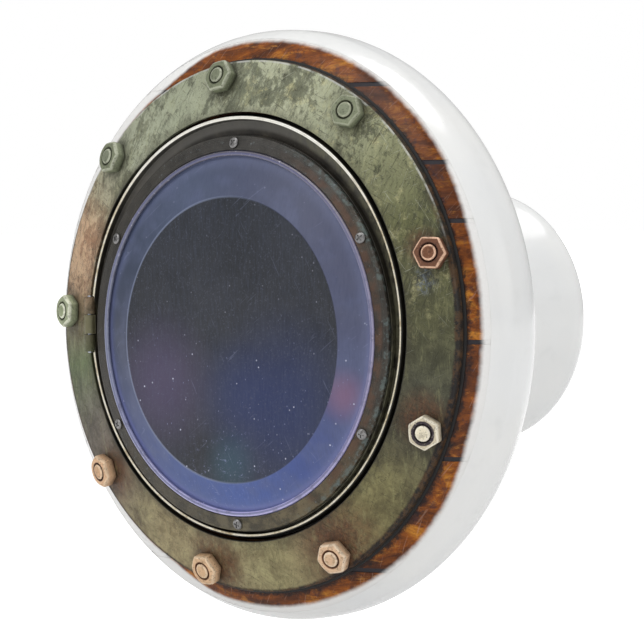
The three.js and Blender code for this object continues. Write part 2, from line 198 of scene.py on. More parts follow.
def mesh_object(name, verts, faces):
    """A new object from millimetre points, with its faces turned outwards and shaded smooth."""
    mesh = bpy.data.meshes.new(name)
    mesh.from_pydata([Vector(v) * MM for v in verts], [], faces)
    made = bmesh.new()
    made.from_mesh(mesh)
    bmesh.ops.recalc_face_normals(made, faces=made.faces)
    made.to_mesh(mesh)
    made.free()
    mesh.polygons.foreach_set("use_smooth", [True] * len(mesh.polygons))
    return linked(name, mesh)


def swept(rings, closed):
    """Points and faces of a skin over rings of equal length; a ring of one point is a pole."""
    verts, starts = [], []
    for ring in rings:
        starts.append(len(verts))
        verts.extend(ring)
    faces = []
    count = len(rings)
    for i in range(count if closed else count - 1):
        j = (i + 1) % count
        a, b, n, m = starts[i], starts[j], len(rings[i]), len(rings[j])
        for k in range(max(n, m)):
            k2 = (k + 1) % max(n, m)
            if n == 1:
                faces.append((a, b + k, b + k2))
            elif m == 1:
                faces.append((a + k, b, a + k2))
            else:
                faces.append((a + k, b + k, b + k2, a + k2))
    return verts, faces


def circle(r, steps):
    """Points round a circle, or the one point at its middle where r is 0."""
    if r < 1e-6:
        return [(0.0, 0.0)]
    return [(r * math.cos(a), r * math.sin(a)) for a in np.linspace(0, math.tau, steps, endpoint=False)]


def turned(name, profile, steps=256, warp=None, low=0.0):
    """A piece turned from (radius, y) points about the knob's axis, or about a line below it."""
    rings = []
    for r, y in profile:
        ring = [(x, y, low + z) for x, z in circle(r, steps)]
        rings.append([warp(*p) for p in ring] if warp else ring)
    return mesh_object(name, *swept(rings, closed=profile[0][0] > 0))


def upright(name, profile, steps=32, place=Matrix.Identity(4)):
    """A small piece turned about its own local Z from (radius, z) points, then placed."""
    rings = [[place @ Vector((x, y, z)) for x, y in circle(r, steps)] for r, z in profile]
    return mesh_object(name, *swept(rings, closed=profile[0][0] > 0))


def plain_ring(name, r, depth, round_=0.08, steps=192, low=0.0):
    """A ring of plain section between two depths, or a disc where its inner radius is 0."""
    (inner, rim), (front, back) = r, depth
    corners = levels((inner, front), (rim, front), (rim, back), (inner, back))
    return turned(name, soften(corners, round_, closed=inner > 0), steps, low=low)


def pin_profile(r, low, high):
    """A rod's section, its ends rounded."""
    return soften([(0, low), (r, low), (r, high), (0, high)], 0.05, closed=False)


def along_y(x):
    """Matrix that lays local Z along +Y, through x."""
    return Matrix.Translation((x, 0, 0)) @ Matrix.Rotation(-math.pi / 2, 4, "X")


def block(name, low, high):
    """A box between two corners."""
    corners = list(itertools.product(*zip(low, high)))
    faces = [(0, 1, 3, 2), (4, 6, 7, 5), (0, 4, 5, 1), (2, 3, 7, 6), (0, 2, 6, 4), (1, 5, 7, 3)]
    return mesh_object(name, corners, faces)


def boolean(obj, tool, operation):
    """Joins, cuts or clips obj with tool, which is used up."""
    step = obj.modifiers.new("step", "BOOLEAN")
    step.operation, step.object, step.solver = operation, tool, "EXACT"
    bpy.context.view_layer.update()
    result = bpy.data.meshes.new_from_object(obj.evaluated_get(bpy.context.evaluated_depsgraph_get()))
    obj.modifiers.clear()
    obj.data = result
    bpy.data.objects.remove(tool)
    return obj


def bevelled(obj, width):
    """Rounds the edges that turn by more than 60 degrees."""
    step = obj.modifiers.new("bevel", "BEVEL")
    step.width, step.segments, step.limit_method = width * MM, 2, "ANGLE"
    step.angle_limit = math.radians(60)
    return obj


SHARP = math.radians(42)  # edges that turn by more than this are drawn sharp


def piece(obj, material, *nodes):
    """obj stands for these CAD nodes, rides with their body and takes the given material."""
    obj.data.materials.clear()
    obj.data.materials.append(material)
    obj.data.set_sharp_from_angle(angle=SHARP)
    obj.modifiers.new("normals", "WEIGHTED_NORMAL").keep_sharp = True
    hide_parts(*nodes)
    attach(obj, BODY_OF[nodes[0]])
    return obj


# ---- Material helpers ----------------------------------------------------------------------------
class Paint:
    """Builds one material's nodes. Coordinates are the part's own, in millimetres."""

    def __init__(self, name, **shader):
        self.material = bpy.data.materials.new(name)
        self.material.use_nodes = True
        self.tree = self.material.node_tree
        self.shader = self.tree.nodes["Principled BSDF"]
        for socket, value in shader.items():
            self.shader.inputs[socket.replace("_", " ")].default_value = value
        coords = self.add("ShaderNodeTexCoord").outputs["Object"]
        self.mm = self.vector("SCALE", coords, scale=1 / MM)

    def add(self, kind, **settings):
        node = self.tree.nodes.new(kind)
        for key, value in settings.items():
            setattr(node, key, value)
        return node

    def put(self, socket, value):
        if isinstance(value, bpy.types.NodeSocket):
            self.tree.links.new(value, socket)
        elif socket.type == "RGBA" and len(value) == 3:
            socket.default_value = (*value, 1)
        else:
            socket.default_value = value

    def vector(self, operation, a, b=None, scale=None):
        node = self.add("ShaderNodeVectorMath", operation=operation)
        self.put(node.inputs[0], a)
        if b is not None:
            self.put(node.inputs[1], b)
        if scale is not None:
            self.put(node.inputs["Scale"], scale)
        gives_number = operation in ("LENGTH", "DISTANCE", "DOT_PRODUCT")
        return node.outputs["Value" if gives_number else "Vector"]

    def math(self, operation, a, b=None):
        node = self.add("ShaderNodeMath", operation=operation)
        self.put(node.inputs[0], a)
        if b is not None:
            self.put(node.inputs[1], b)
        return node.outputs[0]

    def plus(self, a, b):
        return self.math("ADD", a, b)

    def minus(self, a, b):
        return self.math("SUBTRACT", a, b)

    def times(self, a, b):
        return self.math("MULTIPLY", a, b)

    def most(self, a, b):
        return self.math("MAXIMUM", a, b)

    def step(self, value, low, high):
        """0 below low, 1 above high and smooth between; low may be the larger."""
        node = self.add("ShaderNodeMapRange", interpolation_type="SMOOTHSTEP")
        self.put(node.inputs["Value"], value)
        flip = low > high
        self.put(node.inputs["From Min"], high if flip else low)
        self.put(node.inputs["From Max"], low if flip else high)
        self.put(node.inputs["To Min"], 1.0 if flip else 0.0)
        self.put(node.inputs["To Max"], 0.0 if flip else 1.0)
        return node.outputs["Result"]

    def noise(self, scale, detail=4.0, rough=0.6, stretch=(1, 1, 1), shift=(0, 0, 0), warp=0.0):
        place = self.vector("MULTIPLY_ADD", self.mm, stretch)
        self.put(place.node.inputs[2], shift)
        node = self.add("ShaderNodeTexNoise")
        self.put(node.inputs["Vector"], place)
        self.put(node.inputs["Scale"], scale)
        self.put(node.inputs["Detail"], detail)
        self.put(node.inputs["Roughness"], rough)
        self.put(node.inputs["Distortion"], warp)
        return node.outputs[0]

    def patches(self, low, high, *settings, **more):
        """1 where noise rises past high, 0 where it stays under low."""
        return self.step(self.noise(*settings, **more), low, high)

    def wander(self, size, *settings, **more):
        """Noise about zero, size wide, that makes an edge ragged."""
        return self.times(self.minus(self.noise(*settings, **more), 0.5), size)

    def cells(self, scale, stretch=(1, 1, 1)):
        node = self.add("ShaderNodeTexVoronoi")
        self.put(node.inputs["Vector"], self.vector("MULTIPLY", self.mm, stretch))
        self.put(node.inputs["Scale"], scale)
        return node.outputs["Distance"]

    def mix(self, share, a, b):
        """A colour between two linear colours."""
        node = self.add("ShaderNodeMix", data_type="RGBA")
        self.put(node.inputs[0], share)
        self.put(node.inputs[6], a)
        self.put(node.inputs[7], b)
        return node.outputs[2]

    def pair(self, share, a, b):
        """A colour between two sRGB colours."""
        return self.mix(share, hue(*a), hue(*b))

    def over(self, base, colour, *shares):
        """base, covered by an sRGB colour as far as all the shares say."""
        return self.mix(self.both(*shares), base, hue(*colour))

    def blend(self, share, a, b):
        """A number between a and b."""
        node = self.add("ShaderNodeMix", data_type="FLOAT")
        self.put(node.inputs[0], share)
        self.put(node.inputs[2], a)
        self.put(node.inputs[3], b)
        return node.outputs[0]

    def ramp(self, share, *stops):
        node = self.add("ShaderNodeValToRGB")
        self.put(node.inputs[0], share)
        band = node.color_ramp
        while len(band.elements) < len(stops):
            band.elements.new(0.5)
        for element, (place, colour) in zip(band.elements, stops):
            element.position, element.color = place, (*colour, 1)
        return node.outputs["Color"]

    def part(self, axis):
        node = self.add("ShaderNodeSeparateXYZ")
        self.put(node.inputs[0], self.mm)
        return node.outputs["xyz".index(axis)]

    def along(self, axis, low, high):
        """0 to 1 between two places on an axis."""
        return self.step(self.part(axis), low, high)

    def radius(self, low=0.0):
        """Distance from the knob's axis, or from a line beside it at height low."""
        place = self.vector("SUBTRACT", self.mm, (0, 0, low)) if low else self.mm
        return self.vector("LENGTH", self.vector("MULTIPLY", place, (1, 0, 1)))

    def turn(self):
        """Angle round the face as a share of a turn, from +X towards +Z."""
        angle = self.math("ARCTAN2", self.part("z"), self.part("x"))
        return self.math("FRACT", self.plus(self.math("DIVIDE", angle, math.tau), 1.0))

    def around(self, *stops):
        """A colour for each angle round the face, from (degrees, colour) stops."""
        first, last = stops[0], stops[-1]
        gap = first[0] + 360 - last[0]
        share = (360 - last[0]) / gap
        meet = tuple(a * (1 - share) + b * share for a, b in zip(last[1], first[1]))
        closed = [(0, meet), *[s for s in stops if 0 < s[0] < 360], (360, meet)]
        return self.ramp(self.turn(), *[(degrees / 360, colour) for degrees, colour in closed])

    def streaks(self, degrees, scale=1.0, high=0.7, shift=(0, 0, 0)):
        """1 along fine broken scratches that run at an angle across the face."""
        turned_mm = self.add("ShaderNodeVectorRotate", rotation_type="Y_AXIS")
        self.put(turned_mm.inputs["Vector"], self.mm)
        self.put(turned_mm.inputs["Angle"], math.radians(degrees))
        place = self.vector("MULTIPLY", turned_mm.outputs[0], (0.35 * scale, 1, 7 * scale))
        node = self.add("ShaderNodeTexNoise")
        self.put(node.inputs["Vector"], self.vector("ADD", place, shift))
        self.put(node.inputs["Scale"], 1.0)
        self.put(node.inputs["Detail"], 2.0)
        self.put(node.inputs["Distortion"], 0.4)
        return self.step(node.outputs[0], high, high + 0.04)

    def near(self, radius, degrees, reach, soft):
        """1 round a place on the face, given by radius and angle, and 0 beyond reach + soft."""
        a = math.radians(degrees)
        spot = (radius * math.cos(a), dome(radius), radius * math.sin(a))
        return self.step(self.vector("DISTANCE", self.mm, spot), reach + soft, reach)

    def both(self, *shares):
        """The product of the shares."""
        made = shares[0]
        for share in shares[1:]:
            made = self.times(made, share)
        return made

    def colour(self, value):
        self.put(self.shader.inputs["Base Color"], value)

    def roughness(self, value):
        self.put(self.shader.inputs["Roughness"], value)

    def bump(self, height, size):
        """Relief of a height map from 0 to 1, size millimetres deep."""
        node = self.add("ShaderNodeBump")
        self.put(node.inputs["Height"], height)
        self.put(node.inputs["Distance"], size * MM)
        self.put(node.inputs["Strength"], 1.0)
        previous = self.shader.inputs["Normal"].links
        if previous:
            self.put(node.inputs["Normal"], previous[0].from_socket)
        self.put(self.shader.inputs["Normal"], node.outputs["Normal"])


def hue(r, g, b):
    """An sRGB colour, 0 to 255, as the linear colour that shaders take."""
    def linear(v):
        v = v / 255
        return v / 12.92 if v <= 0.04045 else ((v + 0.055) / 1.055) ** 2.4
    return (linear(r), linear(g), linear(b))


# ---- Materials -----------------------------------------------------------------------------------
def glaze():
    p = Paint("white_glaze", Roughness=0.2, Coat_Weight=0.3, Coat_Roughness=0.1)
    cloud = p.noise(0.12, 3, 0.5)
    pooled = p.noise(0.6, 2, 0.5)
    white = p.pair(p.step(cloud, 0.35, 0.7), (241, 241, 239), (236, 237, 237))
    white = p.over(white, (229, 230, 229), p.step(pooled, 0.55, 0.8), 0.5)
    pin_hole = p.step(p.cells(0.55), 0.045, 0.02)
    p.colour(p.over(white, (205, 202, 196), pin_hole, 0.4))
    p.roughness(p.blend(p.patches(0.3, 0.7, 0.5, 4), 0.16, 0.26))
    p.bump(p.noise(0.35, 3, 0.55), 0.05)
    p.bump(p.minus(1.0, pin_hole), 0.01)
    return p.material


# The flange's two layers round the ring: pale worn patina over darker bronze, in sRGB
PALE_PATINA = [
    (2, (98, 98, 66)), (26, (102, 104, 66)), (44, (146, 148, 112)), (60, (172, 176, 146)),
    (76, (184, 187, 158)), (92, (184, 188, 160)), (112, (172, 178, 152)), (134, (182, 186, 162)),
    (148, (180, 172, 144)), (156, (214, 180, 146)), (172, (198, 166, 134)), (181, (136, 130, 108)),
    (190, (104, 118, 80)), (204, (122, 116, 104)), (220, (120, 104, 90)), (232, (160, 150, 112)),
    (246, (184, 170, 128)), (262, (178, 168, 128)), (278, (176, 168, 122)), (292, (146, 128, 94)),
    (306, (146, 136, 92)), (320, (140, 134, 90)), (332, (92, 88, 66)), (346, (88, 88, 70)),
]
DARK_PATINA = [
    (2, (74, 74, 48)), (24, (72, 74, 50)), (44, (76, 78, 56)), (62, (106, 108, 86)),
    (92, (108, 112, 92)), (120, (122, 126, 104)), (142, (118, 118, 96)), (158, (162, 122, 92)),
    (176, (112, 90, 68)), (190, (76, 88, 54)), (206, (78, 70, 60)), (222, (66, 54, 44)),
    (240, (122, 108, 76)), (262, (116, 102, 72)), (280, (124, 114, 80)), (296, (80, 62, 44)),
    (312, (98, 90, 56)), (334, (54, 50, 38)), (348, (56, 56, 42)),
]
RUST = [(297, 1.1, 3.2), (257, 0.9, 2.4), (217, 0.5, 2.2), (337, 0.6, 1.8), (17, 0.4, 1.2)]


def layer(p, stops):
    return p.around(*[(degrees, hue(*colour)) for degrees, colour in stops])


def nut_distance(p):
    """Distance in millimetres to the nearest stud's axis, measured on the flange."""
    share = 1 / STUDS
    first = STUD_FIRST / 360
    offset = p.plus(p.turn(), 1.5 * share - first)
    away = p.minus(p.math("FLOORED_MODULO", offset, share), share / 2)
    along = p.times(away, math.tau * STUD_CIRCLE)
    across = p.minus(p.radius(), STUD_CIRCLE)
    squares = p.plus(p.math("POWER", along, 2.0), p.math("POWER", across, 2.0))
    return p.math("SQRT", squares)


def patina(p, broad, middle, upper):
    """Pale patina where it has kept, crisp at the top and soft lower down, and darker bronze between."""
    worn = p.plus(p.times(broad, 0.45), p.times(middle, 0.55))
    kept = p.wander(0.5, 0.22, 3, 0.5, shift=(6, 2, 2))
    crisp = p.step(p.plus(worn, kept), 0.43, 0.5)
    soft = p.step(p.blend(0.25, broad, worn), 0.36, 0.64)
    bare = p.blend(p.both(upper, 0.7), soft, crisp)
    base = p.mix(bare, layer(p, DARK_PATINA), layer(p, PALE_PATINA))
    cream = p.patches(0.52, 0.66, 0.9, 8, 0.72, shift=(9, 3, 1))
    return worn, p.over(base, (206, 200, 150), cream, upper, p.along("x", -3, 2), 0.5)


def stains(p, base, middle, fine, ragged):
    """Dirt and painted shade round the nuts' bases, rust round some nuts, wiped smears, salts beside the
    first nut, and painted shade along the inner edge.
    """
    # Painted shade with dirt: the flange darker round each nut's base.
    base = p.over(base, (56, 54, 38), p.step(p.plus(nut_distance(p), ragged), 2.2, 0.9), 0.6)
    rust = p.pair(p.step(fine, 0.3, 0.75), (62, 34, 20), (124, 82, 54))
    for degrees, reach, fade in RUST:
        halo = p.both(p.near(STUD_CIRCLE - 0.6, degrees + 2.5, reach, fade), p.step(middle, 0.2, 0.6))
        base = p.mix(p.both(halo, 0.85), base, rust)
    wiped = p.noise(1.8, 7, 0.72, stretch=(1.5, 1, 0.28), shift=(8, 6, 1))
    less_below = p.blend(p.along("z", -10, -4), 0.08, 0.34)
    base = p.over(base, (58, 58, 44), p.step(wiped, 0.5, 0.64), less_below)
    base = p.over(base, (176, 176, 128), p.step(wiped, 0.48, 0.34), 0.2)
    corroded = p.both(p.near(15.95, 11.5, 0.3, 1.0), p.step(fine, 0.4, 0.55))
    salts = p.pair(p.step(middle, 0.45, 0.6), (34, 38, 44), (112, 122, 132))
    base = p.mix(p.both(corroded, 0.85), base, salts)
    # Painted shade: the flange darker along its inner edge, beside the gap.
    return p.over(base, (62, 58, 40), p.step(p.plus(p.radius(), ragged), 15.4, 14.2), 0.5)


def flecks(p, base, upper):
    """Dark blots and specks, and pale chips."""
    blot = p.patches(0.56, 0.64, 1.6, 9, 0.78, shift=(2, 9, 4))
    base = p.over(base, (58, 54, 36), blot, p.blend(upper, 0.22, 0.6))
    base = p.over(base, (46, 46, 34), p.patches(0.6, 0.7, 6.5, 3, 0.6), 0.55)
    chips = p.patches(0.64, 0.74, 7.2, 3, 0.6, shift=(5, 5, 5))
    return p.over(base, (206, 206, 184), chips, p.blend(upper, 0.12, 0.3))


def scratches(p, base, upper):
    """Pale and dark scratches in several directions, and the share of the surface they take."""
    pale = p.most(p.streaks(24, 1.8, 0.66), p.streaks(-52, 1.6, 0.68, (4, 0, 9)))
    pale = p.most(pale, p.both(p.streaks(78, 1.7, 0.66, (8, 0, 2)), upper))
    base = p.over(base, (204, 206, 184), pale, p.blend(upper, 0.06, 0.3))
    dark = p.most(p.streaks(64, 1.5, 0.64, (1, 0, 5)), p.streaks(-28, 1.7, 0.66, (7, 0, 7)))
    return p.most(pale, dark), p.over(base, (52, 52, 38), dark, p.blend(upper, 0.18, 0.5))


def flange_edges(p, base, ragged):
    """Painted highlight along the rim at the top, painted shadow along the rest of the rim and on the outer
    wall, and painted shade along the inner edge.
    """
    inner, rim = FLANGE_R
    wall = p.step(p.radius(), rim - 0.03, rim - 0.01)
    # Painted highlight: a pale line along the outer rim, towards the top.
    edge = p.both(p.step(p.radius(), rim - 0.17, rim - 0.1), p.minus(1.0, wall))
    base = p.over(base, (200, 200, 196), edge, p.along("z", -2, 8), p.patches(0.38, 0.54, 0.9, 5), 0.7)
    # Painted shadow: the outer rim, wider on the right, and the outer wall darkened.
    shade_from = p.blend(p.along("x", 4, 15), rim - 0.16, rim - 0.3)
    beyond = p.minus(p.plus(p.radius(), p.times(ragged, 0.14)), shade_from)
    shade = p.most(p.both(p.step(beyond, -0.1, 0.1), p.along("z", 11, 4)), wall)
    shadow_tone = p.pair(p.patches(0.44, 0.58, 1.7, 7, 0.7, shift=(4, 1, 3)), (22, 17, 20), (78, 54, 32))
    base = p.mix(p.both(shade, 0.93), base, shadow_tone)
    # Painted shade: the inner edge darkened beside the gap, except at the left and the top.
    near_gap = p.step(p.plus(p.radius(), p.times(ragged, 0.05)), inner + 0.1, inner + 0.03)
    return p.over(base, (18, 17, 14), near_gap, p.along("x", -13.6, -12), p.along("z", 13, 8), 0.93)


def flange_bronze():
    p = Paint("flange_bronze", Metallic=0.35)
    broad = p.noise(0.55, 9, 0.7, shift=(3, 1, 7), warp=0.3)
    middle = p.noise(2.1, 8, 0.76, stretch=(1, 1, 0.6), warp=0.2)
    fine = p.noise(4.2, 6, 0.7)
    ragged = p.wander(2.2, 1.8, 8, 0.76)
    upper = p.along("z", -3, 5)
    worn, base = patina(p, broad, middle, upper)
    base = stains(p, base, middle, fine, ragged)
    base = flecks(p, base, upper)
    marks, base = scratches(p, base, upper)
    p.colour(flange_edges(p, base, ragged))
    p.roughness(p.blend(fine, 0.36, 0.66))
    p.bump(worn, 0.09)
    p.bump(fine, 0.03)
    p.bump(p.minus(1.0, marks), 0.02)
    return p.material


def port_bronze():
    """Dark bronze with a bright worn lip where its rim stands out, a painted highlight on the lip's top,
    painted light on the wall inside the lip, and a painted shadow outside the lip.
    """
    p = Paint("port_bronze", Metallic=0.4, Roughness=0.5)
    cloud = p.noise(0.6, 6, 0.66)
    fine = p.noise(3.5, 6, 0.7)
    dark = p.ramp(cloud, (0.34, hue(30, 27, 23)), (0.55, hue(54, 50, 43)), (0.72, hue(78, 72, 60)))
    # Painted light: the wall inside the lip is lighter towards the top, and in streaks on its right side.
    lit = p.along("z", 5, 11)
    wall = p.step(p.radius(), 13.1, 13.4)
    dark = p.over(dark, (104, 102, 97), lit, wall, 0.5)
    lit_streaks = p.noise(2.4, 6, 0.72, stretch=(1, 1, 0.5), shift=(5, 1, 5))
    dark = p.over(dark, (116, 114, 90), p.step(lit_streaks, 0.34, 0.62), wall, p.along("x", 2, 9), 0.62)
    # Painted shadow: black outside the lip, in the gap to the flange, narrower at the top.
    top = p.along("z", 6, 12)
    over = p.minus(p.radius(), p.blend(top, 14.03, 14.1))
    dark = p.over(dark, (14, 13, 12), p.step(over, 0.01, 0.05), 0.9)
    dark = p.over(dark, (98, 94, 84), p.step(fine, 0.6, 0.72), 0.4)
    line = p.both(p.step(p.radius(), 13.9, 13.94), p.step(over, 0.04, 0.0))
    lip = p.both(line, p.step(p.part("y"), at(2.4), at(2.2)))
    hinge_side = p.both(p.along("x", -13.2, -13.5), p.step(p.math("ABSOLUTE", p.part("z")), 0.85, 0.7))
    lip = p.both(lip, p.minus(1.0, hinge_side))
    metal = [(0.3, hue(168, 150, 116)), (0.46, hue(224, 214, 188)), (0.7, hue(244, 240, 228))]
    worn = p.ramp(p.noise(1.4, 5, 0.6), *metal)
    # Painted highlight: the lip lighter towards the top.
    worn = p.over(worn, (246, 246, 240), p.along("z", 7, 12), 0.7)
    dark = p.mix(p.along("x", -13.75, -13.9), dark, p.pair(cloud, (84, 86, 60), (140, 132, 104)))
    p.colour(p.mix(lip, dark, worn))
    p.roughness(p.blend(fine, 0.3, 0.6))
    p.bump(cloud, 0.03)
    p.bump(fine, 0.012)
    return p.material


RING_TONES = [
    (5, (54, 50, 46)), (30, (74, 66, 56)), (50, (66, 62, 58)), (75, (56, 54, 52)), (100, (56, 54, 52)),
    (135, (50, 47, 43)), (180, (42, 38, 34)), (215, (58, 52, 44)), (245, (82, 76, 62)),
    (270, (108, 100, 78)), (295, (112, 100, 74)), (318, (84, 72, 54)), (340, (62, 54, 46)),
]


def ring_bronze():
    p = Paint("ring_bronze", Metallic=0.35, Roughness=0.45)
    cloud = p.noise(0.9, 7, 0.7, shift=(4, 4, 4))
    fine = p.noise(4.5, 5, 0.7)
    darker = [(degrees, tuple(0.6 * v for v in colour)) for degrees, colour in RING_TONES]
    base = p.mix(p.step(cloud, 0.38, 0.6), layer(p, darker), layer(p, RING_TONES))
    lines = p.add("ShaderNodeTexNoise", noise_dimensions="1D")
    p.put(lines.inputs["W"], p.times(p.radius(), 14.0))
    base = p.over(base, (150, 144, 128), p.step(lines.outputs[0], 0.48, 0.7), 0.25)
    base = p.over(base, (34, 30, 26), p.step(fine, 0.58, 0.66), 0.5)
    right = p.along("x", 3, 9)
    from_centre = p.radius(LOW)
    rusty = p.both(p.patches(0.4, 0.6, 1.0, 5, 0.6, shift=(2, 2, 8)), p.step(from_centre, 12.95, 12.7))
    base = p.over(base, (98, 68, 50), rusty, right, 0.55)
    green = p.both(p.patches(0.48, 0.6, 1.9, 7, 0.75, shift=(6, 3, 2)), p.step(from_centre, 12.85, 13.05))
    base = p.over(base, (104, 120, 118), green, right, 0.6)
    base = p.over(base, (132, 142, 146), p.patches(0.6, 0.66, 2.4, 7, 0.78, shift=(1, 8, 3)), 0.5)
    p.colour(base)
    p.roughness(p.blend(cloud, 0.3, 0.58))
    p.bump(lines.outputs[0], 0.014)
    p.bump(fine, 0.018)
    return p.material


def whitened(p, colour):
    """The colour, turned to the glaze's white at the boards' outer ends."""
    edge = p.blend(p.along("x", 15, 18.5), 19.28, 18.98)
    edge = p.minus(edge, p.times(p.along("x", -4, -9), 0.75))
    edge = p.minus(edge, p.times(p.along("z", -14, -19), 0.25))
    drift = p.wander(0.2, 1.6, 5, 0.6)
    beyond = p.minus(p.plus(p.radius(), drift), edge)
    return p.over(colour, (238, 237, 235), p.step(beyond, -0.26, 0.1))


def plank_wood(index):
    """Varnished board, its grain along X. Each board has its own tone and place in the grain."""
    rng = random.Random(index)
    p = Paint(f"plank_wood_{index}", Coat_Weight=0.1, Coat_Roughness=0.2, Specular_IOR_Level=0.2)
    shift = (rng.uniform(0, 40), rng.uniform(0, 40), rng.uniform(0, 40))
    figure = p.noise(0.5, 6, 0.66, stretch=(0.3, 1, 1.2), shift=shift, warp=1.4)
    fibre = p.noise(3.0, 5, 0.65, stretch=(0.16, 1, 1.5), shift=shift)
    pores = p.noise(9.0, 3, 0.6, stretch=(0.5, 1, 1.0), shift=shift)
    tone = rng.uniform(-0.04, 0.04)
    wood = p.ramp(
        figure,
        (0.28 + tone, hue(50, 25, 12)),
        (0.44 + tone, hue(100, 50, 14)),
        (0.56 + tone, hue(146, 78, 18)),
        (0.7 + tone, hue(208, 138, 44)),
    )
    wood = p.over(wood, (62, 28, 10), p.step(fibre, 0.46, 0.7), 0.55)
    wood = p.over(wood, (40, 18, 12), p.step(pores, 0.56, 0.7), 0.35)
    stain = p.patches(0.5, 0.6, 0.8, 7, 0.72, shift=(1, 5, 9))
    wood = p.over(wood, (48, 24, 18), stain, 0.4)
    gold = p.patches(0.56, 0.68, 1.4, 6, 0.7, stretch=(0.4, 1, 1.2), shift=shift[::-1])
    wood = p.over(wood, (206, 138, 58), gold, 0.5)
    marks = p.most(p.streaks(48, 1.1, 0.66, shift), p.streaks(62, 1.3, 0.67))
    wood = p.over(wood, (196, 160, 142), marks, 0.22)
    deep = p.both(p.along("z", 1, 9), p.along("x", 5, 11))
    wood = p.over(wood, (64, 32, 16), deep, 0.4)
    smear = p.patches(0.56, 0.66, 1.0, 6, 0.7, shift=(7, 2, 6))
    wood = p.over(wood, (40, 30, 46), smear, 0.5)
    # Painted shadow: the wood black beside the flange's edge, ragged, reaching further out below the top.
    ragged = p.wander(1.6, 1.5, 7, 0.74)
    reach = p.blend(p.along("z", 9, -2), 17.95, 18.15)
    shadow_by_flange = p.step(p.minus(p.plus(p.radius(), ragged), reach), 0.22, -0.12)
    wood = p.over(wood, (26, 18, 20), shadow_by_flange, 0.88)
    p.colour(whitened(p, wood))
    p.roughness(p.blend(fibre, 0.24, 0.5))
    p.bump(fibre, 0.04)
    p.bump(figure, 0.05)
    return p.material


def rubber():
    p = Paint("black_rubber", Roughness=0.7)
    p.colour(p.pair(p.noise(1.5, 4), (14, 14, 15), (36, 34, 33)))
    p.roughness(p.blend(p.noise(3.0, 4), 0.55, 0.85))
    p.bump(p.noise(4.0, 4), 0.02)
    return p.material


def caulk():
    p = Paint("seam_caulk", Roughness=0.6)
    dark = p.pair(p.noise(2.0, 5), (16, 14, 22), (42, 36, 44))
    p.colour(whitened(p, dark))
    p.bump(p.noise(4.0, 4), 0.03)
    return p.material


def dark_plate():
    p = Paint("dark_plate", Roughness=0.6)
    p.colour(p.pair(p.noise(0.5, 4), (16, 17, 22), (34, 36, 46)))
    p.bump(p.noise(1.6, 5), 0.04)
    return p.material


BEAD_TONES = [
    (10, (150, 146, 172)), (40, (132, 126, 140)), (70, (104, 100, 112)), (110, (86, 84, 98)),
    (150, (120, 122, 140)), (190, (150, 156, 178)), (230, (168, 168, 206)), (265, (190, 186, 232)),
    (295, (184, 180, 226)), (330, (164, 156, 196)),
]


def bead():
    p = Paint("lavender_bead", Roughness=0.25, Coat_Weight=0.4)
    tint = layer(p, BEAD_TONES)
    tint = p.over(tint, (96, 92, 110), p.patches(0.5, 0.62, 1.0, 6, 0.7), 0.5)
    tint = p.over(tint, (216, 214, 236), p.patches(0.6, 0.7, 3.2, 5), 0.35)
    from_centre = p.radius(LOW)
    between = p.both(p.step(from_centre, 11.97, 12.01), p.step(from_centre, 12.16, 12.12))
    p.colour(p.over(tint, (84, 88, 128), between, 0.7))
    p.bump(p.noise(2.5, 4), 0.02)
    return p.material


def steel(name="steel"):
    p = Paint(name, Metallic=0.9, Roughness=0.35)
    p.colour(p.pair(p.noise(3.0, 4), (150, 156, 170), (206, 210, 220)))
    p.roughness(p.blend(p.noise(5.0, 4), 0.22, 0.5))
    p.bump(p.noise(9.0, 3), 0.01)
    return p.material


def screw_steel():
    p = Paint("screw_steel", Metallic=0.8, Roughness=0.35)
    tone = p.pair(p.noise(4.0, 4), (104, 104, 106), (168, 166, 164))
    p.colour(p.over(tone, (58, 52, 46), p.patches(0.55, 0.7, 7.0, 4), 0.6))
    p.roughness(p.blend(p.noise(6.0, 3), 0.25, 0.5))
    return p.material


def insert_brass():
    p = Paint("insert_brass", Metallic=0.9, Roughness=0.3)
    tone = p.pair(p.noise(0.8, 4), (176, 138, 72), (222, 190, 122))
    p.colour(p.over(tone, (110, 80, 40), p.patches(0.58, 0.72, 3.0, 4), 0.5))
    p.roughness(p.blend(p.noise(2.5, 4), 0.2, 0.45))
    return p.material


def fastener_paint(kind, index, place, look):
    """What a nut's and a stud's finish share: paint, colours, and places about their own axis."""
    p = Paint(f"{kind}_finish_{index}", Metallic=0.35, Roughness=0.42)
    local = p.vector("SUBTRACT", p.mm, place.translation)
    from_axis = p.vector("LENGTH", p.vector("CROSS_PRODUCT", local, place.col[2].xyz))
    cloud = p.noise(1.6, 7, 0.7, shift=(index, 2 * index, 3))
    return p, [hue(*colour) for colour in look], local, from_axis, cloud


def weathered(p, index, tone, cloud, look):
    """The last stains, pale chips and relief of a nut or a stud."""
    face, edge, groove, _ = look
    grit = p.noise(6.5, 5, 0.7, shift=(index, 1, 1))
    tone = p.mix(p.both(p.step(cloud, 0.5, 0.64), 0.5), tone, tuple(0.45 * v for v in face))
    tone = p.mix(p.both(p.step(grit, 0.54, 0.66), 0.6), tone, tuple(0.4 * v for v in groove))
    pale = p.patches(0.6, 0.68, 8.0, 4, 0.7, shift=(3, index, 2))
    p.colour(p.mix(p.both(pale, 0.35), tone, edge))
    p.roughness(p.blend(cloud, 0.36, 0.68))
    p.bump(cloud, 0.05)
    p.bump(grit, 0.03)
    return p.material


def stud_finish(index, place, look):
    p, look, _, from_axis, cloud = fastener_paint("stud", index, place, look)
    _, edge, groove, end = look
    tone = p.mix(p.step(from_axis, 0.37, 0.44), end, edge)
    tone = p.mix(p.step(from_axis, 0.51, 0.54), tone, groove)
    return weathered(p, index, tone, cloud, look)


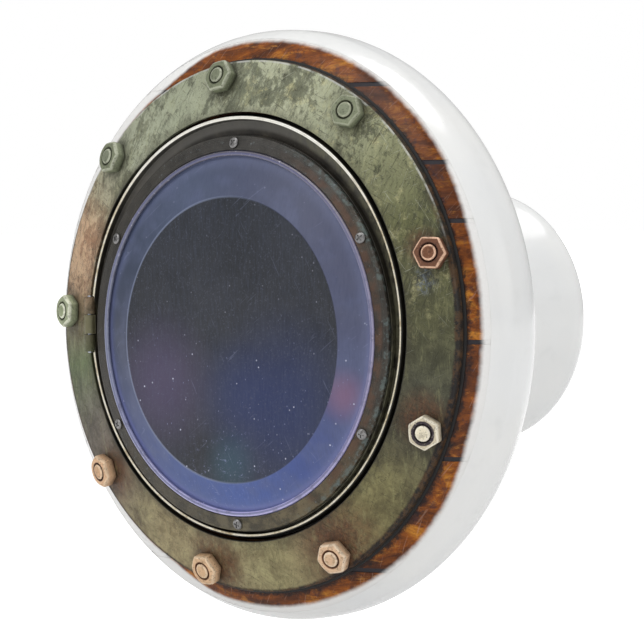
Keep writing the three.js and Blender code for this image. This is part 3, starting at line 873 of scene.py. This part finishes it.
def nut_finish(index, place, look):
    """Stained face, dark groove round the stud, worn rim, and painted shade with grime darkening the foot."""
    p, look, local, from_axis, cloud = fastener_paint("nut", index, place, look)
    face, edge, groove, _ = look
    reach = 0.0
    for k in range(3):
        a = math.radians(NUT_TURNS[index - 1]) + math.pi * (2 * k + 1) / 6
        side = place.to_3x3() @ Vector((math.cos(a), math.sin(a), 0))
        reach = p.most(reach, p.math("ABSOLUTE", p.vector("DOT_PRODUCT", local, side)))
    wobble = p.times(p.minus(cloud, 0.5), 0.12)
    groove_end = 0.84 if index == STUDS else 0.71
    tone = p.mix(p.step(p.plus(from_axis, wobble), groove_end, groove_end - 0.06), face, groove)
    height = p.vector("DOT_PRODUCT", local, place.col[2].xyz)
    on_top = p.step(height, NUT["high"] - 0.3, NUT["high"] - 0.12)
    across = NUT["corner"] * math.cos(math.pi / 6)
    rim = p.both(p.step(p.plus(reach, wobble), across - 0.14, across - 0.08), on_top)
    tone = p.mix(p.both(rim, 0.9), tone, edge)
    # Painted shade with grime: the nut's sides darker towards its foot.
    tone = p.mix(p.both(p.step(height, 0.45, 0.05), 0.6), tone, tuple(0.35 * v for v in groove))
    return weathered(p, index, tone, cloud, look)


# Painted reflections round the glass's bevel: degrees and sRGB colour.
BEVEL_REFLECTIONS = [
    (5, (84, 88, 112)), (35, (82, 86, 110)), (80, (78, 84, 108)), (115, (80, 90, 114)),
    (150, (58, 68, 88)), (185, (52, 60, 82)), (215, (62, 74, 116)), (245, (76, 94, 148)),
    (275, (82, 102, 164)), (305, (74, 90, 148)), (335, (78, 86, 124)),
]


# Painted reflections in the glass's flat, as soft tints: radius, degrees, reach, fade, strength and sRGB
# colour
FLAT_REFLECTIONS = [
    (7.2, -48, 0.5, 7.5, 0.8, (28, 44, 92)),
    (4.5, 275, 0.2, 4.6, 0.4, (40, 56, 110)),
    (7.4, 212, 0.5, 5.5, 0.6, (86, 74, 108)),
    (9.2, 270, 0.2, 2.8, 0.5, (50, 88, 106)),
]


def flat_tone(p, brushed):
    """Slate, with painted reflections as blue and violet tints towards the lower right, and a painted
    reflection lightening the top.
    """
    slate = p.pair(p.patches(0.3, 0.7, 0.16, 6, 0.6, shift=(5, 5, 5)), (26, 29, 35), (42, 45, 53))
    for *spot, strength, colour in FLAT_REFLECTIONS:
        slate = p.over(slate, colour, p.near(*spot), strength)
    # Painted reflection: the flat lighter towards the top.
    slate = p.over(slate, (54, 58, 66), p.along("z", 1, 8), 0.35)
    slate = p.over(slate, (84, 92, 116), p.step(brushed, 0.4, 0.8), 0.22)
    return p.over(slate, (94, 98, 116), p.patches(0.55, 0.7, 7.0, 3, 0.7), 0.3)


def bevel_tone(p, brushed):
    ground = layer(p, BEVEL_REFLECTIONS)
    ground = p.over(ground, (96, 104, 136), p.patches(0.42, 0.7, 0.5, 5, 0.6, shift=(3, 3, 3)), 0.4)
    ground = p.over(ground, (48, 54, 84), p.step(brushed, 0.4, 0.75), 0.3)
    # Painted reflection: a pinkish glint on the bevel at the lower right.
    return p.over(ground, (160, 108, 130), p.near(10.8, -24, 0.1, 2.2), 0.4)


def dust(p, base):
    """Specks, dust settled at the bottom, and hair scratches."""
    lower = p.blend(p.along("z", 3, -6), 0.2, 1.0)
    sparse = p.patches(0.42, 0.56, 0.35, 4, 0.65, shift=(1, 2, 8))
    base = p.over(base, (206, 210, 232), p.step(p.cells(1.3), 0.1, 0.04), sparse, lower)
    small = p.step(p.cells(2.6, stretch=(1, 1, 0.7)), 0.12, 0.06)
    base = p.over(base, (140, 148, 184), small, lower, 0.55)
    settled = p.patches(0.58, 0.68, 3.4, 6, 0.75, stretch=(0.8, 1, 1.3))
    base = p.over(base, (168, 176, 222), settled, p.near(10.4, 268, 1.0, 5.0), 0.45)
    hairs = p.most(p.streaks(35, 0.7, 0.7), p.streaks(-60, 0.9, 0.71, (3, 0, 3)))
    return p.over(base, (150, 158, 190), hairs, 0.14)


def glass():
    """Smoked glass with a wide ground bevel, with a painted highlight along the flat's edge and painted
    reflections lighting its own rim.
    """
    p = Paint("port_glass", IOR=1.4)
    brushed = p.noise(3.0, 6, 0.75, stretch=(2.6, 1, 0.35))
    from_flat, from_centre = p.radius(LOW + FLAT_LOW), p.radius(LOW)
    bevel = p.step(from_flat, 9.54, 9.64)
    base = p.mix(bevel, flat_tone(p, brushed), bevel_tone(p, brushed))
    # Painted highlight: a pale line along the flat's edge, on the left.
    line = p.step(p.math("ABSOLUTE", p.minus(from_flat, 9.58)), 0.1, 0.03)
    base = p.over(base, (140, 150, 178), line, p.along("x", 5, -5), 0.5)
    # Painted reflections: the rim lighter towards the bottom, and the bevel lighter towards the rim.
    base = p.over(base, (130, 134, 190), p.step(from_centre, 11.4, 11.85), p.along("z", 6, -8), 0.55)
    base = p.over(base, (128, 136, 172), p.step(from_centre, 10.9, 11.85), bevel, 0.25)
    p.colour(dust(p, base))
    smeared = p.blend(p.patches(0.42, 0.7, 0.6, 6, 0.65), 0.12, 0.24)
    p.roughness(p.plus(smeared, p.times(bevel, 0.2)))
    p.bump(p.noise(0.25, 2), 0.01)
    return p.material


# ---- Ceramic body and its insert ----------------------------------------------------------------
def front_curve(r):
    """y of the head's front curve at a radius."""
    power = FRONT["power"]
    rise = FRONT["depth"] * (1 - (1 - (r / HEAD_R) ** power) ** (1 / power))
    return at(-FRONT["ahead"]) + rise


def body_profile():
    """The ceramic's section from the bottom of the well round the head and stem to the bore's end."""
    made = levels((0, WELL["floor"]), (WELL["r"], WELL["floor"]), (WELL["r"], RECESS["floor"]))
    made += levels((RECESS["ledge_r"], RECESS["floor"]), (RECESS["ledge_r"], RECESS["ledge"]))
    made += [(RECESS["r"], at(RECESS["ledge"])), (RECESS["r"], front_curve(RECESS["r"]))]
    start = math.asin((RECESS["r"] / HEAD_R) ** (FRONT["power"] / 2))
    for a in np.linspace(start, math.pi / 2, 24)[2:]:
        r = HEAD_R * math.sin(a) ** (2 / FRONT["power"])
        made.append((r, front_curve(r)))
    belt_end = made[-1][1] + BACK["belt"]
    neck_r, fillet = NECK["r"], NECK["fillet"]
    for a in np.linspace(0, math.pi / 2 * BACK["sweep"], 40):
        r = HEAD_R * math.cos(a) ** (2 / BACK["power"])
        if r > neck_r + fillet:
            made.append((r, belt_end + BACK["depth"] * math.sin(a) ** (2 / BACK["power"])))
    neck = made[-1][1] + NECK["start"]
    for a in np.linspace(0, math.pi / 2, 10):
        made.append((neck_r + fillet * (1 - math.sin(a)), neck + fillet * (1 - math.cos(a))))
    foot, round_ = FOOT["r"], FOOT["round"]
    flare_from, flare_to = neck + fillet, -round_ - FOOT["straight"]
    for s in np.linspace(0.05, 1, 22):
        made.append((neck_r + (foot - neck_r) * s ** FOOT["flare"], flare_from + (flare_to - flare_from) * s))
    for a in np.linspace(0, math.pi / 2, 9):
        made.append((foot - round_ * (1 - math.cos(a)), -round_ + round_ * math.sin(a)))
    bore, mouth = outer("threaded_insert") + BORE["gap"], BORE["mouth"]
    return made + [(bore + mouth, 0), (bore, -mouth), (bore, -BORE["end"]), (0, -BORE["end"])]


def make_body():
    piece(turned("glazed_body", body_profile(), 320), glaze(), "ceramic_body")


def make_insert():
    """Brass insert with a real helical M4 thread and a chamfered mouth."""
    wall, length, pitch, sunk = outer("threaded_insert"), THREAD["length"], THREAD["pitch"], -0.06
    steps, per_turn = 48, 6
    rings = []
    for i in range(int(length / pitch * per_turn) + 1):
        y = -length + i * pitch / per_turn
        ring = []
        for k in range(steps):
            phase = (y / pitch + k / steps) % 1
            r = THREAD["crest"] + (THREAD["root"] - THREAD["crest"]) * abs(2 * phase - 1)
            r += THREAD["flare"] * max(0.0, y / THREAD["mouth"] + 1)
            a = math.tau * k / steps
            ring.append((r * math.cos(a), min(y, sunk), r * math.sin(a)))
        rings.append(ring)
    for r, y in soften([(wall, sunk), (wall, -length)], 0.15, closed=False):
        rings.append([(x, y, z) for x, z in circle(r, steps)])
    piece(mesh_object("thread_insert", *swept(rings, closed=True)), insert_brass(), "threaded_insert")


# ---- Main frame, plate and seals -----------------------------------------------------------------
def make_frame(dark, black):
    """The flanged tube that lines the well, its back plate, and the seals in front of it."""
    (inner, rim), (front, back) = TUBE["r"], TUBE["depth"]
    flange, (near, far) = FRAME_FLANGE["r"], FRAME_FLANGE["depth"]
    section = levels((inner, front), (rim, front), (rim, near), (flange, near))
    section += levels((flange, far), (rim, far), (rim, back), (inner, back))
    piece(turned("frame_tube", soften(section, 0.12), 192), dark, "main_frame")
    piece(plain_ring("dark_back", **BACK_PLATE, round_=0.1, steps=128), dark_plate(), "back_plate")
    piece(plain_ring("tube_seal", **PORT_SEAL, round_=0.15), black, "port_seal")
    top, under = [arc(*BEDDING["r"], BEDDING[side], 10) for side in ("top", "back")]
    piece(turned("flange_bedding", soften(top + under[::-1], 0.04)), black, "bedding_ring")


# ---- Planking ------------------------------------------------------------------------------------
def plank_nodes():
    """Each CAD board with its place in the stack from the top, and its side."""
    nodes = sorted(n for n in frame["nodes"] if n.startswith("plank_"))
    return [(n, int(n.split("_")[1]) - 1, n.rpartition("_")[2]) for n in nodes]


def shouldered(size, shoulder, steps):
    """Along the face to the shoulder, down to the rim, and back underneath."""
    inner, rim = size["r"]
    top = arc(inner, size["shoulder"], size["top"], steps)
    return top + shoulder + levels((rim, size["back"]), (inner, size["back"]))


def make_planks():
    edges = [HEAD_R, *SEAMS, -HEAD_R]
    slope = [(18.95, dome(18.8, BOARD["top"]) + 0.13), *levels((19.14, 4.55), (BOARD["r"][1], 4.75))]
    for node, index, side in plank_nodes():
        top = edges[index] - (SEAM_HALF if index else 0)
        bottom = edges[index + 1] + (SEAM_HALF if index < len(SEAMS) else 0)
        left = 0 if side == "right" else -HEAD_R
        right = 0 if side == "left" else HEAD_R
        board = turned(node.replace("plank", "board"), shouldered(BOARD, slope, 12))
        clip = block("clip", (left, at(0), bottom), (right, at(8), top))
        board = bevelled(boolean(board, clip, "INTERSECT"), 0.045)
        piece(board, plank_wood(index * 2 + (side == "right")), node)


def make_caulking(material):
    """One sheet under the boards, with a rib up each seam, a hair below the boards' top."""
    obj = plain_ring("caulk_sheet", **CAULK, round_=0.04)
    slope = [(18.94, dome(18.8, BOARD["top"]) + 0.17), *levels((19.13, 4.59), (RIB["r"][1], 4.8))]
    half = SEAM_HALF - SEAM_PLAY
    for z in SEAMS:
        rib = turned("rib", shouldered(RIB, slope, 10), 192)
        clip = block("clip", (-HEAD_R, at(0), z - half), (HEAD_R, at(8), z + half))
        obj = boolean(obj, boolean(rib, clip, "INTERSECT"), "UNION")
    piece(bevelled(obj, 0.03), material, "seam_caulking")


# ---- Flange, hinge, studs and nuts -----------------------------------------------------------------
def on_hinge(name, r, low, high):
    """A rod along the hinge's axis."""
    return upright(name, pin_profile(r, low, high), 40, Matrix.Translation(HINGE))


def outer_knuckles(play=0.0):
    """Ends of the two knuckles that belong to the flange, along the hinge's axis."""
    near, far = KNUCKLE["outer"]
    return (near - play, far + play), (-far - play, -near + play)


def hammered(x, y, z):
    """Small real unevenness of a cast and scraped surface."""
    p = Vector((x, y, z))
    dent = 0.022 * noise.noise(p * 0.55) + 0.01 * noise.noise(p * 1.7)
    return (x, y + dent, z)


def make_flange():
    section = arc(*FLANGE_R, 0.0, 30) + arc(*FLANGE_R, FLANGE_THICK, 6)[::-1]
    flange = turned("bronze_flange", soften(section, 0.1), 512, hammered)
    slot = KNUCKLE["inner"] + KNUCKLE["play"]
    flange = boolean(flange, on_hinge("slot", KNUCKLE["pocket"], -slot, slot), "DIFFERENCE")
    for low, high in outer_knuckles():
        flange = boolean(flange, on_hinge("knuckle", KNUCKLE["r"], low, high), "UNION")
    piece(flange, flange_bronze(), "flange_ring")
    pin = on_hinge("pivot_pin", HINGE_PIN["r"], -HINGE_PIN["half"], HINGE_PIN["half"])
    piece(pin, steel("pin_steel"), "hinge_pin")


# Finish of each nut in turn, in sRGB: face, worn edge, groove round the stud, stud's end.
# They weathered differently.
NUT_LOOKS = [
    ((112, 72, 50), (236, 194, 164), (72, 42, 30), (120, 76, 50)),
    ((130, 136, 110), (164, 168, 144), (84, 88, 68), (132, 138, 114)),
    ((122, 128, 102), (178, 182, 160), (76, 80, 60), (124, 130, 106)),
    ((128, 134, 108), (180, 184, 162), (78, 84, 64), (128, 134, 112)),
    ((158, 166, 134), (232, 234, 212), (78, 84, 58), (148, 158, 122)),
    ((222, 182, 144), (242, 212, 178), (84, 52, 36), (216, 174, 134)),
    ((228, 190, 150), (244, 216, 182), (116, 72, 44), (224, 186, 146)),
    ((232, 196, 160), (246, 224, 196), (128, 84, 56), (226, 190, 154)),
    ((214, 202, 176), (248, 240, 220), (52, 42, 50), (240, 230, 204)),
]
NUT_TURNS = [12, 25, 3, 18, 0, 34, 14, 40, 22]


def nut_rings(turn, steps=96):
    """Rings of a hexagon nut: bore, chamfered top, six sides and its foot."""
    flat = NUT["corner"] * math.cos(math.pi / 6)
    chamfer = flat * 0.93
    hole, foot = NUT["hole"], NUT["lift"]
    top = foot + NUT["high"]

    def side(angle):
        local = (angle - turn) % (math.pi / 3) - math.pi / 6
        return min(flat / math.cos(local), NUT["corner"] * 0.975)

    def crown(a):
        return top - (side(a) - chamfer) * math.tan(NUT["chamfer"])

    sections = [
        (lambda a: hole, lambda a: foot),
        (lambda a: hole, lambda a: top - 0.07),
        (lambda a: hole + 0.06, lambda a: top),
        (lambda a: (hole + chamfer) / 2, lambda a: top + 0.004),
        (lambda a: chamfer - 0.03, lambda a: top),
        (lambda a: chamfer + 0.02, lambda a: top - 0.014),
        (lambda a: side(a) - 0.03, lambda a: crown(a) + 0.012),
        (side, lambda a: crown(a) - 0.03),
        (side, lambda a: foot + 0.05),
        (lambda a: side(a) - 0.05, lambda a: foot),
    ]
    angles = [math.tau * k / steps for k in range(steps)]
    return [[(r(a) * math.cos(a), r(a) * math.sin(a), z(a)) for a in angles] for r, z in sections]


def make_fasteners():
    r, top = STUD["r"], NUT["lift"] + NUT["high"] + STUD["proud"]
    section = [(0, -STUD["below"]), (r, -STUD["below"]), (r, top - 0.1), (r - 0.09, top), (0, top + 0.03)]
    stud_profile = soften(section, 0.05, 3, closed=False)
    for i, look in enumerate(NUT_LOOKS):
        place = on_face(STUD_CIRCLE, STUD_FIRST + i * 360 / STUDS)
        verts, faces = swept(nut_rings(math.radians(NUT_TURNS[i])), closed=True)
        nut = mesh_object(f"nut_{i + 1}", [place @ Vector(v) for v in verts], faces)
        piece(nut, nut_finish(i + 1, place, look), f"hex_nut_{i + 1}")
        stud = upright(f"stud_end_{i + 1}", stud_profile, 40, place)
        piece(stud, stud_finish(i + 1, place, look), f"stud_{i + 1}")


# ---- Port ------------------------------------------------------------------------------------------
def make_port_frame():
    """Rim, shelf and spigot about the knob's axis; the ring's seat and the glass's pocket lie low."""
    (lip_in, lip_out), (inner, spigot) = LIP["r"], SPIGOT["r"]
    section = levels((inner, GROOVE_FLOOR), (lip_in - LIP["draft"], GROOVE_FLOOR), (lip_in, LIP["top"]))
    section += levels((lip_out, LIP["top"]), (lip_out, PORT_BACK), (spigot, PORT_BACK))
    section += levels((spigot, SPIGOT["end"]), (inner, SPIGOT["end"]))
    body = turned("swing_frame", soften(section, 0.09), 320)
    body = boolean(body, plain_ring("shelf", **SHELF, round_=0.05, steps=320), "UNION")
    body = boolean(body, plain_ring("seat", **RING_SEAT, round_=0.05, steps=320, low=LOW), "UNION")
    for r, back in POCKETS:
        hole = turned("hole", levels((0, 0), (r, 0), (r, back), (0, back)), 320, low=LOW)
        body = boolean(body, hole, "DIFFERENCE")
    for low, high in outer_knuckles(KNUCKLE["play"]):
        body = boolean(body, on_hinge("pocket", KNUCKLE["pocket"], low, high), "DIFFERENCE")
    half, (front, back) = KNUCKLE["inner"], ARM["depth"]
    arm = block("arm", (HINGE.x + 0.05, at(front), -half), (ARM["end"], at(back), half))
    body = boolean(body, arm, "UNION")
    return boolean(body, on_hinge("knuckle", KNUCKLE["r"], -half, half), "UNION")


def make_screws(material):
    """Pan heads with a cross recess, on short shanks, round the ring."""
    r, shank, end, seat, slot = SCREW["r"], SCREW["shank"], -SCREW["long"], SCREW["seat"], SCREW["slot"]
    section = [(0, end), (shank - 0.02, end), (shank, end + 0.1), (shank, seat), (r, seat)]
    section += [(r, seat + 0.06), (r * 0.8, seat + 0.125), (0, seat + 0.15)]
    profile = soften(section, 0.03, 3, closed=False)
    arm, floor = r * 0.62, seat + 0.05
    for i in range(SCREWS):
        screw = upright("screw", profile, 40)
        for x, y in ((arm, slot), (slot, arm)):
            screw = boolean(screw, block("slot", (-x, -y, floor), (x, y, 1)), "DIFFERENCE")
        turn = Matrix.Rotation(math.radians(37 * i + 12), 4, "Z")
        on_ring = on_face(SCREW_CIRCLE, SCREW_FIRST + i * 360 / SCREWS)
        place = Matrix.Translation((0, 0, LOW)) @ on_ring @ turn
        place.translation *= MM
        screw.data.transform(place)
        screw.name = f"cross_screw_{i + 1}"
        piece(screw, material, f"ring_screw_{i + 1}")


def low_flat(x, y, z):
    """Moves the flat of the glass down in its bevel."""
    share = min(1.0, max(0.0, (at(GLASS["edge"]) - y) / (GLASS["edge"] - GLASS_FRONT)))
    return (x, y, z + FLAT_LOW * share)


def make_glass():
    r, edge, back = GLASS["r"], GLASS["edge"], GLASS["back"]
    section = levels((0, GLASS_FRONT), (GLASS["flat"], GLASS_FRONT), (GLASS["bevel"], edge))
    section += levels((r, edge), (r, back), (0, back))
    profile = soften(section, 0.06, 3, closed=False)
    piece(turned("bevelled_glass", profile, 320, low_flat, LOW), glass(), "glass")


def make_retaining_ring():
    (inner, rim), step, over, back = RING["r"], RING["step"], RING["over_glass"], RING["back"]
    section = arc(inner, rim, RING["top"], 8) + levels((rim, back), (step, back), (step, over), (inner, over))
    piece(turned("clamp_ring", soften(section, 0.07), 320, low=LOW), ring_bronze(), "retaining_ring")


def make_port(dark, black):
    piece(make_port_frame(), dark, "port_frame")
    make_glass()
    piece(plain_ring("seat_gasket", **SEAT_SEAL, round_=0.05, low=LOW), black, "glass_seat_seal")
    piece(plain_ring("pale_bead", **BEAD, round_=0.12, steps=320, low=LOW), bead(), "glazing_bead")
    make_retaining_ring()
    make_screws(screw_steel())
    for name, size in (("magnet", MAGNET), ("keeper", KEEPER)):
        profile = pin_profile(size["r"], *[at(depth) for depth in size["depth"]])
        pin = upright(name, profile, 32, along_y(size["x"]))
        piece(pin, steel(f"{name}_steel"), f"catch_{name}")


def build():
    dark, black = port_bronze(), rubber()
    make_body()
    make_insert()
    make_frame(dark, black)
    make_planks()
    make_caulking(caulk())
    make_flange()
    make_fasteners()
    make_port(dark, black)


# ---- Stage, light and camera -----------------------------------------------------------------------
def make_floor():
    """Pale floor that glows, more away from the object: painted light, which leaves the floor near the object
    dimmer.
    """
    size, height = 6.0, -0.034
    corners = [(-size, -size, height), (size, -size, height), (size, size, height), (-size, size, height)]
    mesh = bpy.data.meshes.new("floor")
    mesh.from_pydata(corners, [], [(0, 1, 2, 3)])
    p = Paint("pale_floor", Roughness=0.9)
    p.shader.inputs["Emission Color"].default_value = (1, 1, 1, 1)
    away = p.vector("LENGTH", p.vector("MULTIPLY", p.mm, (1, 1, 0)))
    # Painted light: the floor's glow rises with distance from the object.
    glow = p.plus(p.blend(p.step(away, 60, 100), 0.0, 0.5), p.blend(p.step(away, 300, 1200), 0.0, 0.25))
    p.put(p.shader.inputs["Emission Strength"], glow)
    p.colour(p.pair(p.noise(0.004, 3), (228, 228, 228), (234, 234, 234)))
    mesh.materials.append(p.material)
    linked("floor", mesh)


def area_light(name, place, aim, size, watts):
    data = bpy.data.lights.new(name, "AREA")
    data.shape, data.size, data.energy = "DISK", size, watts
    light = linked(name, data)
    light.location = place
    light.rotation_euler = (Vector(aim) - Vector(place)).to_track_quat("-Z", "Y").to_euler()


def make_world():
    """White behind the object; the light it casts is softer, and brighter from above."""
    world = bpy.data.worlds.new("studio")
    bpy.context.scene.world = world
    world.use_nodes = True
    tree = world.node_tree
    seen = tree.nodes.new("ShaderNodeLightPath").outputs["Is Camera Ray"]
    direction = tree.nodes.new("ShaderNodeSeparateXYZ")
    tree.links.new(tree.nodes.new("ShaderNodeTexCoord").outputs["Generated"], direction.inputs[0])
    height = tree.nodes.new("ShaderNodeMapRange")
    tree.links.new(direction.outputs["Z"], height.inputs["Value"])
    height.inputs["From Min"].default_value, height.inputs["From Max"].default_value = -0.7, 0.9
    height.inputs["To Min"].default_value, height.inputs["To Max"].default_value = 0.05, 0.62
    strength = tree.nodes.new("ShaderNodeMix")
    tree.links.new(seen, strength.inputs[0])
    tree.links.new(height.outputs[0], strength.inputs[2])
    strength.inputs[3].default_value = 1.0
    tree.links.new(strength.outputs[0], tree.nodes["Background"].inputs["Strength"])
    tree.nodes["Background"].inputs["Color"].default_value = (1, 1, 1, 1)


# The camera stands to the right of the face, about level with it
CAMERA = {"azimuth": 41.34, "elevation": 1.67, "roll": 0.53, "distance": 0.2571, "lens": 206.5}
CAMERA_AIM = (0, -0.014, 0)
CAMERA_SHIFT = -0.0029  # of the aim, to the camera's right


def make_camera():
    azimuth, elevation, roll = [math.radians(CAMERA[k]) for k in ("azimuth", "elevation", "roll")]
    turn = Matrix.Rotation(azimuth, 3, "Z") @ Matrix.Rotation(-elevation, 3, "X")
    right, back, up = turn @ Vector((1, 0, 0)), turn @ Vector((0, -1, 0)), turn @ Vector((0, 0, 1))
    data = bpy.data.cameras.new("camera")
    data.lens, data.sensor_width, data.clip_start = CAMERA["lens"], 36, 0.01
    camera = linked("camera", data)
    side = right * math.cos(roll) - up * math.sin(roll)
    top = right * math.sin(roll) + up * math.cos(roll)
    place = Matrix((side, top, back)).transposed().to_4x4()
    place.translation = Vector(CAMERA_AIM) + right * CAMERA_SHIFT + back * CAMERA["distance"]
    camera.matrix_world = place
    bpy.context.scene.camera = camera


def make_stage():
    make_floor()
    make_world()
    centre = (0, -0.02, 0)
    area_light("key", (-0.12, -0.42, 0.34), centre, 0.3, 0.75)
    area_light("side", (0.42, 0.14, 0.1), centre, 0.3, 0.14)
    area_light("top", (0.05, 0.05, 0.5), centre, 0.35, 1.0)
    make_camera()
    bpy.context.scene.view_settings.view_transform = "Standard"


build()
make_stage()
